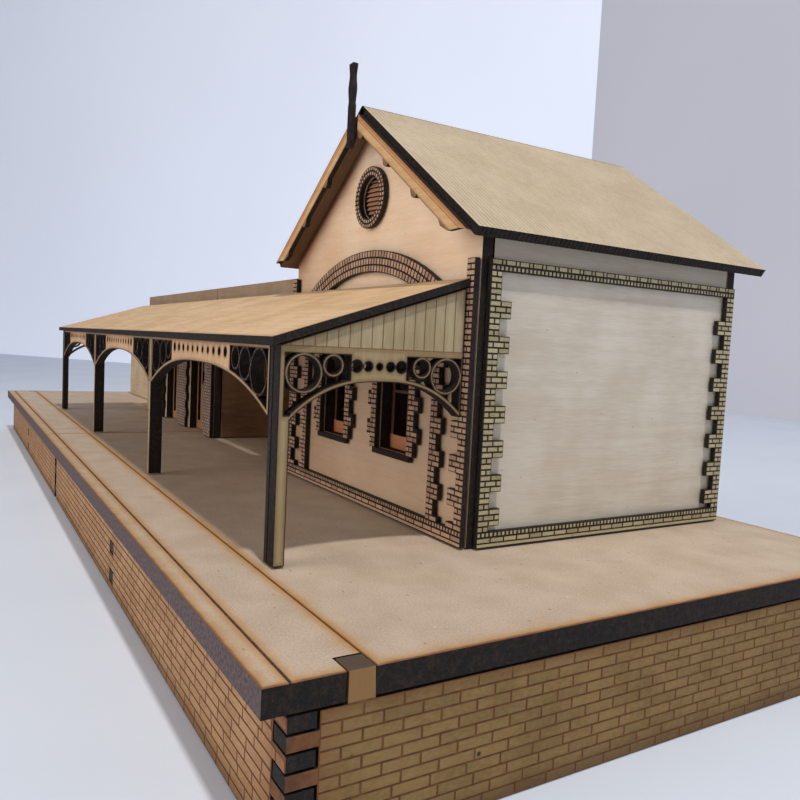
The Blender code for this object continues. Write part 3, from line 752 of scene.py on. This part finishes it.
def lay_top(node, near_end, finish):
    """A top plate with eased edges, reaching into the joints beside it."""
    low, high = into_joint(node, near_end)
    low[1] -= JOINT_FILL
    along = grid_lines(low[0], low[0] + 0.12, np.linspace(low[0], high[0], 24)[1:-1],
                       high[0] - 0.12, high[0])
    across = grid_lines(low[1], low[1] + 0.12, np.linspace(low[1], high[1], 10)[1:-1],
                        high[1] - 0.12, high[1])
    a, b = np.meshgrid(along, across, indexing="ij")
    worn = (a < low[0] + 0.01) | (a > high[0] - 0.01) | (b < low[1] + 0.01) | (b > high[1] - 0.01)
    cut_sheet(node + "_plate", facing_up(high[2]), a, b, all_cells(a),
              np.where(worn, -EDGE_WEAR, 0.0), high[2] - low[2], finish, (node,))


def hang_louvre(finish):
    """A round of overlapping slats in the vent, a little out of level.

    Down each slat the front leans out by SLAT_DEPTH and then drops straight back.
    """
    low, high = extent("vent_ring")
    centre = ((low[0] + high[0]) / 2, (low[2] + high[2]) / 2)
    radius = VENT_RADIUS - 0.12
    pitch = 2 * radius / SLATS
    steps = np.arange(SLATS + 1) * pitch - radius
    lines = grid_lines(steps, steps + 0.1 * pitch, steps + 0.5 * pitch)
    lines = lines[np.abs(lines) <= radius]
    b, t = np.meshgrid(lines, np.linspace(-1, 1, 17), indexing="ij")
    half = np.sqrt(np.maximum(radius ** 2 - b ** 2, 0.01))
    a = t * half
    phase = np.mod(b + radius, pitch) / pitch
    phase = np.where(phase > 0.999, 0.0, phase)
    relief = np.where(phase < 0.01, 0.0, SLAT_DEPTH * (1 - phase))
    a, b, relief = a.T, b.T, relief.T
    cut_sheet("vent_slats", facing_track(SLAT_V), centre[0] + a, centre[1] + b + a * SLAT_TILT,
              all_cells(a), relief, SLAT_BACK, finish)


# ---- roofs -------------------------------------------------
def lay_main_roof(node, near, finish):
    """A roof slope with fine grooves running down it, one every ROOF_PITCH.

    Down the slope the sheet is straight; along it, the height is a row of shallow Vs,
    and the eave is nicked where each groove runs off it.
    """
    at = points(node)
    ridge = at[at[:, 2].argmax()]
    eave = at[at[:, 0].argmin() if near else at[:, 0].argmax()]
    run, drop = abs(ridge[0] - eave[0]), ridge[2] - eave[2]
    slope = math.atan2(drop, run)
    sign = -1.0 if near else 1.0
    length = math.hypot(run, drop)

    def face(a, b, c):
        return world(ridge[0] + sign * (b * math.cos(slope) + c * math.sin(slope)), a,
                     ridge[2] - b * math.sin(slope) + c * math.cos(slope))

    low, high = at[:, 1].min(), at[:, 1].max()
    grooves = np.arange(low + ROOF_PITCH, high - 0.3, ROOF_PITCH)
    along = grid_lines(low, high, grooves, grooves - 0.09, grooves + 0.09)
    down = grid_lines(0.0, 0.1, np.linspace(0.1, length - 0.15, 7), length - 0.15, length)
    a, b = np.meshgrid(along, down, indexing="ij")
    in_groove = np.isin(np.round(a, 4), np.round(grooves, 4))
    relief = np.where(in_groove, -0.05, 0.0)
    b = np.where(in_groove & (b > length - 0.01), b - 0.12, b)
    cut_sheet(node + "_boards", face, a, b, all_cells(a), relief, ROOF_SHEET, finish,
              (node,))


# ---- verandah ----------------------------------------------
def arch_line(a, low, high, foot, crown):
    """Height of the arch between two posts: flat in the middle, steep at its feet."""
    t = np.clip(np.abs((a - (low + high) / 2) / ((high - low) / 2)), 0, 1)
    return foot + (crown - foot) * (1 - t ** 2.6)


def spandrel(a, b, low, high, top, foot, crown, web):
    """An arched screen: rim, band along the arch, rings in the corners, and a web between."""
    arch = arch_line(a, low, high, foot, crown)
    slope = (arch_line(a + 0.05, low, high, foot, crown)
             - arch_line(a - 0.05, low, high, foot, crown)) / 0.1
    above = (b - arch) / np.sqrt(1 + np.clip(slope, -3, 3) ** 2)
    body = [bar(a, b, (low, top - BAND), (high, 99)), above - BAND,
            bar(a, b, (low, 0), (low + BAND, 99)), bar(a, b, (high - BAND, 0), (high, 99))]
    for side, start in ((1, low), (-1, high)):
        edge = start + side * RING_INSET
        for radius in SCREEN_RINGS:
            centre = (edge + side * radius, top - BAND + 0.12 - radius)
            body.append(ring(a, b, centre, radius - FRONT_RING / 2 + 0.1, FRONT_RING))
            edge += side * 2 * radius
    middle = (low + high) / 2
    body.append(bar(a, b, (middle - web, 0), (middle + web, 99)))
    return np.maximum.reduce([np.minimum.reduce(body), -above, low - a, a - high, b - top])


def hang_screens(finish, end_finish):
    """Fretted screens between the posts and at both ends of the verandah."""
    for number in (1, 2, 3):
        node = "screen_%d" % number
        low, high = extent(node)
        top, foot = high[2], low[2]
        middle = (low[0] + high[0]) / 2
        crown = foot + CROWN_RISE

        def field(a, b):
            web = (high[0] - low[0]) / 2 - CORNER_WIDTH
            wood_here = spandrel(a, b, low[0], high[0], top, foot, crown, web)
            for k in range(-5, 6):
                size = 0.42 + 0.34 * (abs(k) / 5.5) ** 2
                wood_here = np.maximum(wood_here,
                                       -disc(a, b, (middle + HOLE_STEP * k, top - 1.7), size))
            return wood_here

        fretwork(node + "_fret", facing_track(low[1]), (low[0], high[0]), (foot, top),
                 0.2 if number == 1 else 0.26, field, high[1] - low[1], finish,
                 (node,))

    for node, outward in (("end_screen_near", facing_end), ("end_screen_far", facing_far)):
        low, high = extent(node)
        at = points(node)
        eaves = at[at[:, 1] < low[1] + 0.1][:, 2].max()
        top = extent("screen_1")[1][2]
        foot = extent("screen_1")[0][2]
        slope = (high[2] - eaves) / (high[1] - low[1])
        inner = low[1] + LEG_WIDTH
        middle = (low[1] + 0.9 + high[1] - 0.2) / 2

        def field(a, b):
            crown, strip = foot + END_CROWN_RISE, top - 1.0
            arch = arch_line(a, inner, high[1], foot, crown)
            slant = (arch_line(a + 0.05, inner, high[1], foot, crown)
                     - arch_line(a - 0.05, inner, high[1], foot, crown)) / 0.1
            above = (b - arch) / np.sqrt(1 + np.clip(slant, -3, 3) ** 2)
            body = [bar(a, b, (low[1], strip), (high[1], 99)), above - 0.6,
                    bar(a, b, (low[1], foot), (low[1] + 0.8, 99)),
                    bar(a, b, (high[1] - 0.35, foot), (high[1], 99)),
                    bar(a, b, (middle - 4.6, foot), (middle + 4.6, 99))]
            for side, edge in ((1, low[1] + 0.75), (-1, high[1] - 0.15)):
                for radius in END_RINGS:
                    centre = (edge + side * radius, strip + 0.15 - radius)
                    body.append(ring(a, b, centre, radius - RING_WIDTH / 2, RING_WIDTH))
                    edge += side * (2 * radius - 0.12)
            fret = np.maximum.reduce([np.minimum.reduce(body), -above, b - top])
            for k in range(-2, 3):
                fret = np.maximum(fret, -disc(a, b, (middle + END_HOLE_STEP * k, top - 2.5),
                                              0.48 + 0.18 * abs(k)))
            boards = np.maximum(top - 0.6 - b, b - (eaves + (a - low[1]) * slope))
            leg = bar(a, b, (low[1], low[2]), (inner, foot + 0.5))
            return np.maximum.reduce([np.minimum.reduce([fret, boards, leg]),
                                      low[1] - a, a - high[1]])

        face = outward(low[0] if outward is facing_end else high[0])
        fretwork(node + "_fret", face, (low[1], high[1]), (low[2], high[2]), 0.15, field,
                 high[0] - low[0], end_finish, (node,))


# ---- finishes of this model --------------------------------
def side_wall_eave_shade(f):
    top = extent("side_overlay")[1][2]
    # painted shade: darker above the brick overlay, under the eave
    f.over(f.times(f.ramp(f.h, top - 0.5, top + 1.2), 0.3), srgb(128, 108, 88))


def under_slope(f, node):
    """Distance straight down from the line of a pair of slopes that meet over the ridge."""
    at = points(node)
    top = at[at[:, 2].argmax()]
    ridge_u = (extent("gable_front")[0][0] + extent("gable_front")[1][0]) / 2
    side = at[np.abs(at[:, 0] - ridge_u).argmax(), 0]
    foot = at[np.abs(at[:, 0] - side) < 0.01][:, 2].max()
    steep = (top[2] - foot) / (abs(side - ridge_u) - abs(top[0] - ridge_u))
    peak = top[2] + abs(top[0] - ridge_u) * steep
    away = f.math("ABSOLUTE", f.math("SUBTRACT", f.u, ridge_u))
    return f.math("SUBTRACT", f.math("SUBTRACT", peak, f.times(away, steep)), f.h)


def gable_painted_shade(f):
    """Painted shade: warmer and darker to the far side, and browner under the verandah roof.

    A dark painted shadow lies under the far slope, and a faint one under the near slope.
    """
    low, high = extent("gable_front")
    middle = (low[0] + high[0]) / 2
    # painted shade, darker and warmer towards the far side
    f.over(f.times(f.ramp(f.u, high[0] - 30, high[0]), 0.4), srgb(170, 112, 70))
    # painted shade under the verandah roof
    f.over(f.times(f.ramp(f.h, *VERANDAH_SHADE), 0.3), srgb(150, 112, 84))
    # painted shadow under the roof's slopes, darkest under the far slope
    down = under_slope(f, "gable_front")
    side = f.ramp(f.u, middle - 3, middle + 12, 0.35, 1.0)
    for reach, share, colour in ((4.2, 0.6, srgb(170, 110, 66)), (2.2, 0.85, srgb(74, 44, 26))):
        f.over(f.times(f.times(f.ramp(down, reach, 0.4), share), side), colour)


def barge_marks(f):
    """An orange-brown band and line along the boards' upper edge under the roof, and a darker lower
    edge, each part burn and part painted shade.
    """
    down = under_slope(f, "barge_near")
    # part burn, part painted shade under the roof
    f.over(f.times(f.ramp(down, 1.1, 0.3), 0.8), srgb(184, 112, 62))
    f.over(f.times(f.near(down, 1.0, 0.16), 0.8), srgb(104, 62, 38))
    # darker lower edge: part char, part painted shade
    f.over(f.times(f.ramp(down, 2.3, 3.0), 0.75), srgb(92, 58, 38))


def main_roof_marks(f):
    """Fine brown lines down the slope, a dark ridge and eave, and a darker underside, part smoke and
    part painted shade.
    """
    low, high = extent("roof_near")
    phase = f.math("FRACT", f.math("DIVIDE", f.math("SUBTRACT", f.v, low[1] - ROOF_PITCH / 2),
                                   ROOF_PITCH))
    away = f.math("ABSOLUTE", f.math("SUBTRACT", phase, 0.5))
    f.over(f.times(f.ramp(away, 0.18, 0.05), 0.34), srgb(122, 100, 80))
    f.over(f.times(f.near(f.h, high[2], 0.5), 0.6), srgb(120, 84, 52))
    # darker faces turned down: part smoke, part painted shade
    f.over(f.times(f.ramp(f.nz, -0.2, -0.4), 0.85), srgb(96, 66, 44))


def sash_painted_lit_rail(f):
    # painted light: the bottom rail lighter, as lit, below SASH_RAIL
    f.over(f.times(f.ramp(f.h, SASH_RAIL + 0.2, SASH_RAIL - 0.2), 0.9), srgb(224, 150, 104))


def block_marks(f):
    f.over(f.times(f.ramp(f.h, 41.0, 42.2), 0.6), srgb(112, 84, 66))


def end_board_marks(f):
    """Thin brown lines between the boards of the verandah's gable, and one along their foot."""
    top = extent("screen_1")[1][2]
    share = f.math("FRACT", f.math("DIVIDE", f.v, BOARD_PITCH))
    away = f.math("ABSOLUTE", f.math("SUBTRACT", share, 0.5))
    line = f.times(f.ramp(away, 0.07, 0.03), f.math("GREATER_THAN", f.h, top))
    foot = f.near(f.h, top, 0.16)
    f.over(f.times(f.ramp(f.math("SUBTRACT", top, f.h), 0.0, 0.01), 0.35), srgb(150, 124, 76))
    f.over(f.times(f.most(line, foot), 0.85), srgb(120, 74, 40))


def verandah_roof_marks(f):
    low, high = extent("verandah_roof")
    for where, at in ((f.v, low[1]), (f.u, low[0]), (f.u, high[0])):
        f.over(f.times(f.near(where, at, 1.1), 0.5), srgb(156, 104, 58))


def make_finishes():
    made = {
        "mdf": platform_finish("fibreboard_scorched"),
        "end_groove": wall_groove_finish("platform_joint_end", False),
        "track_groove": wall_groove_finish("platform_joint_track", True),
        # the end walls' bricks: the track walls' bricks painted darker, as shade
        "end_brick_painted_shade": wall_brick_finish("platform_brick_painted_shade", srgb(144, 117, 72),
                                       srgb(122, 97, 56), "x"),
        "track_brick": wall_brick_finish("platform_brick_amber", srgb(190, 147, 106),
                                         srgb(166, 122, 82), "y"),
        "side_brick": overlay_brick_finish("overlay_brick_grey", srgb(192, 181, 146),
                                           srgb(150, 137, 102), "x"),
        "front_brick": overlay_brick_finish("overlay_brick_peach", srgb(208, 172, 144),
                                            srgb(162, 126, 100), "y"),
        "block_brick": overlay_brick_finish("overlay_brick_mauve", srgb(190, 166, 152),
                                            srgb(156, 132, 118), "y"),
        "block_mortar": sheet_finish("overlay_mortar", "y", srgb(132, 106, 90),
                                     srgb(108, 86, 72), "u"),
        "door": sheet_finish("door_ply", "y", srgb(190, 146, 108), srgb(156, 114, 80), "h"),
        "louvre": sheet_finish("louvre_ply", "y", srgb(196, 140, 106), srgb(164, 110, 80), "u"),
        "char": char_finish("laser_char"),
        "side_ply": sheet_finish("side_wall_ply", "x", srgb(219, 212, 198), srgb(203, 191, 173),
                                 "v", extra=side_wall_eave_shade),
        "gable_ply": sheet_finish("gable_ply", "y", srgb(252, 224, 192), srgb(242, 204, 168),
                                  "u", extra=gable_painted_shade),
        "block_ply": sheet_finish("block_ply", "y", srgb(224, 201, 170), srgb(194, 168, 138), "u",
                                  extra=block_marks),
        # the block's side and end walls: its ply painted darker, as shade
        "block_side": sheet_finish("block_side_ply_painted_shade", "x", srgb(150, 118, 88), srgb(116, 88, 64),
                                   "v"),
        # the sashes: ply painted dark brown as shade, with a lighter painted-lit bottom rail
        "sash": sheet_finish("sash_ply_painted_shade", "y", srgb(122, 82, 62), srgb(98, 64, 48), "h",
                             extra=sash_painted_lit_rail),
        "barge": sheet_finish("barge_ply", "y", srgb(232, 190, 138), srgb(206, 160, 110), "u",
                              extra=barge_marks),
        "roof": sheet_finish("main_roof_ply", "z", srgb(214, 197, 170), srgb(195, 177, 149), "u",
                             extra=main_roof_marks),
        "flat_roof": sheet_finish("flat_roof_ply", "z", srgb(202, 182, 148),
                                  srgb(176, 155, 120), "u"),
        "ver_roof": sheet_finish("verandah_roof_ply", "z", srgb(226, 193, 153),
                                 srgb(200, 164, 122), "u", extra=verandah_roof_marks),
        "fret": fret_finish("screen_ply", srgb(226, 186, 146), srgb(200, 156, 116)),
        "end_fret": fret_finish("end_screen_ply", srgb(186, 172, 140), srgb(160, 144, 108),
                                end_board_marks),
    }
    return made


def far_post_finish():
    f = wood("post_ply", srgb(196, 170, 130), srgb(150, 120, 86), "h")
    charred(f, f.facing(f.nx), 0.3)
    return f.done(0.03)


def finish_parts(finishes):
    """Gives each CAD sheet that stays in view its finish."""
    plan = {
        "end_groove": ("end_wall_near", "end_wall_far"),
        "track_groove": ("track_wall_near", "track_wall_far", "rear_wall_near",
                         "rear_wall_far"),
        "side_ply": ("side_wall_near", "side_wall_inner"),
        "gable_ply": ("gable_front", "gable_rear"),
        "char": ("side_overlay", "front_overlay", "surround_near", "surround_far", "vent_ring",
                 "finial", "post_1", "post_4", "rib_1", "rib_2", "rib_3"),
        "sash": ("sash_near", "sash_far"),
        "louvre": ("vent_louvre",),
        "door": ("door_1", "door_2", "porch_door"),
        "block_mortar": ("block_overlay",),
        "barge": ("barge_near", "barge_far"),
        "ver_roof": ("verandah_roof",),
        "far_post": ("post_2", "post_3"),
        "block_ply": ("block_front", "block_rear", "porch_fascia", "porch_back", "far_front",
                      "far_rear"),
        "block_side": ("block_side", "block_end", "far_end"),
        "flat_roof": ("block_roof", "far_roof"),
    }
    for key, names in plan.items():
        for name in names:
            materials = frame["nodes"][name].data.materials
            materials.clear()
            materials.append(finishes[key])


# ---- stage, light and camera -------------------------------
TABLE = (-1.6, -1.2), (1.2, 1.2)        # metres, as are the walls' ends
LEFT_END, CORNER, RIGHT_END, WALL_TOP = (-1.6, -0.25), (-0.40, 0.54), (1.2, 0.62), 1.2
SKY, AIM = 0.045, (90, 50, 20)
# name, place, size in metres, watts and colour
LIGHTS = (("key", (-315, -13, 920), 0.06, 5.1, (1.0, 0.98, 0.95)),
          ("front_fill", (60, -700, 340), 0.8, 3.6, (1.0, 0.97, 0.94)),
          ("end_fill", (-800, 180, 300), 0.8, 1.15, (0.98, 0.98, 1.0)))
CAMERA_AT, CAMERA_TURN, LENS = (-60.63, -23.80, 31.05), (85.761, -2.824, 59.032), 33.61


def plain_finish(name, pale, deep, size, glow=0.0):
    f = Finish(name, roughness=0.6)
    f.shader.inputs["Emission Color"].default_value = pale
    f.shader.inputs["Emission Strength"].default_value = glow
    f.colour = f.mix(f.ramp(f.noise(size, 2.0), 0.3, 0.7), pale, deep)
    f.height = f.noise(3.0, 2.0)
    return f.done(0.01)


def stage_sheet(name, corners, finish):
    mesh = bpy.data.meshes.new(name)
    mesh.from_pydata([tuple(c) for c in corners], [], [(0, 1, 2, 3)])
    mesh.materials.append(finish)
    sheet = bpy.data.objects.new(name, mesh)
    bpy.context.scene.collection.objects.link(sheet)


def set_stage():
    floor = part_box("rib_1")[0].z - 0.0001

    def wall(name, start, end, finish):
        stage_sheet(name, [(*start, floor), (*end, floor), (*end, WALL_TOP), (*start, WALL_TOP)],
                    finish)

    white = plain_finish("table_white", srgb(222, 229, 242), srgb(217, 225, 238), 60, 0.08)
    left = plain_finish("backdrop_blue", srgb(214, 220, 234), srgb(208, 214, 229), 300, 0.55)
    right = plain_finish("backdrop_grey", srgb(186, 186, 195), srgb(179, 180, 190), 300, 0.40)
    (x0, y0), (x1, y1) = TABLE
    stage_sheet("table", [(x0, y0, floor), (x1, y0, floor), (x1, y1, floor), (x0, y1, floor)],
                white)
    wall("backdrop_left", LEFT_END, CORNER, left)
    wall("backdrop_right", CORNER, RIGHT_END, right)


def area_light(name, at, aim, size, power, colour):
    data = bpy.data.lights.new(name, "AREA")
    data.shape, data.size, data.energy, data.color = "DISK", size, power, colour
    lamp = bpy.data.objects.new(name, data)
    bpy.context.scene.collection.objects.link(lamp)
    lamp.location = at
    lamp.rotation_mode = "QUATERNION"
    lamp.rotation_quaternion = (Vector(aim) - Vector(at)).to_track_quat("-Z", "Y")


def set_light():
    scene = bpy.context.scene
    scene.world = bpy.data.worlds.new("soft_daylight")
    scene.world.use_nodes = True
    sky = scene.world.node_tree.nodes["Background"]
    sky.inputs[0].default_value = (0.92, 0.95, 1.0, 1.0)
    sky.inputs[1].default_value = SKY
    for name, at, size, power, colour in LIGHTS:
        area_light(name, tuple(world(*at)), tuple(world(*AIM)), size, power, colour)
    scene.view_settings.view_transform = "Standard"


def set_camera():
    data = bpy.data.cameras.new("camera")
    data.lens, data.sensor_width, data.clip_start = LENS, 36.0, 0.005
    camera = bpy.data.objects.new("camera", data)
    bpy.context.scene.collection.objects.link(camera)
    camera.location = tuple(world(*CAMERA_AT))
    camera.rotation_euler = tuple(math.radians(angle) for angle in CAMERA_TURN)
    bpy.context.scene.camera = camera


finishes = make_finishes()
finishes["far_post"] = far_post_finish()
finish_parts(finishes)
lay_coping("coping_near", "end_wall_near", finishes["mdf"])
lay_coping("coping_far", "end_wall_far", finishes["mdf"])
lay_top("top_near", True, finishes["mdf"])
lay_top("top_far", False, finishes["mdf"])
hang_louvre(finishes["louvre"])
lay_platform_bricks(finishes)
lay_overlay_bricks(finishes)
lay_main_roof("roof_near", True, finishes["roof"])
lay_main_roof("roof_far", False, finishes["roof"])
hang_screens(finishes["fret"], finishes["end_fret"])
set_stage()
set_light()
set_camera()
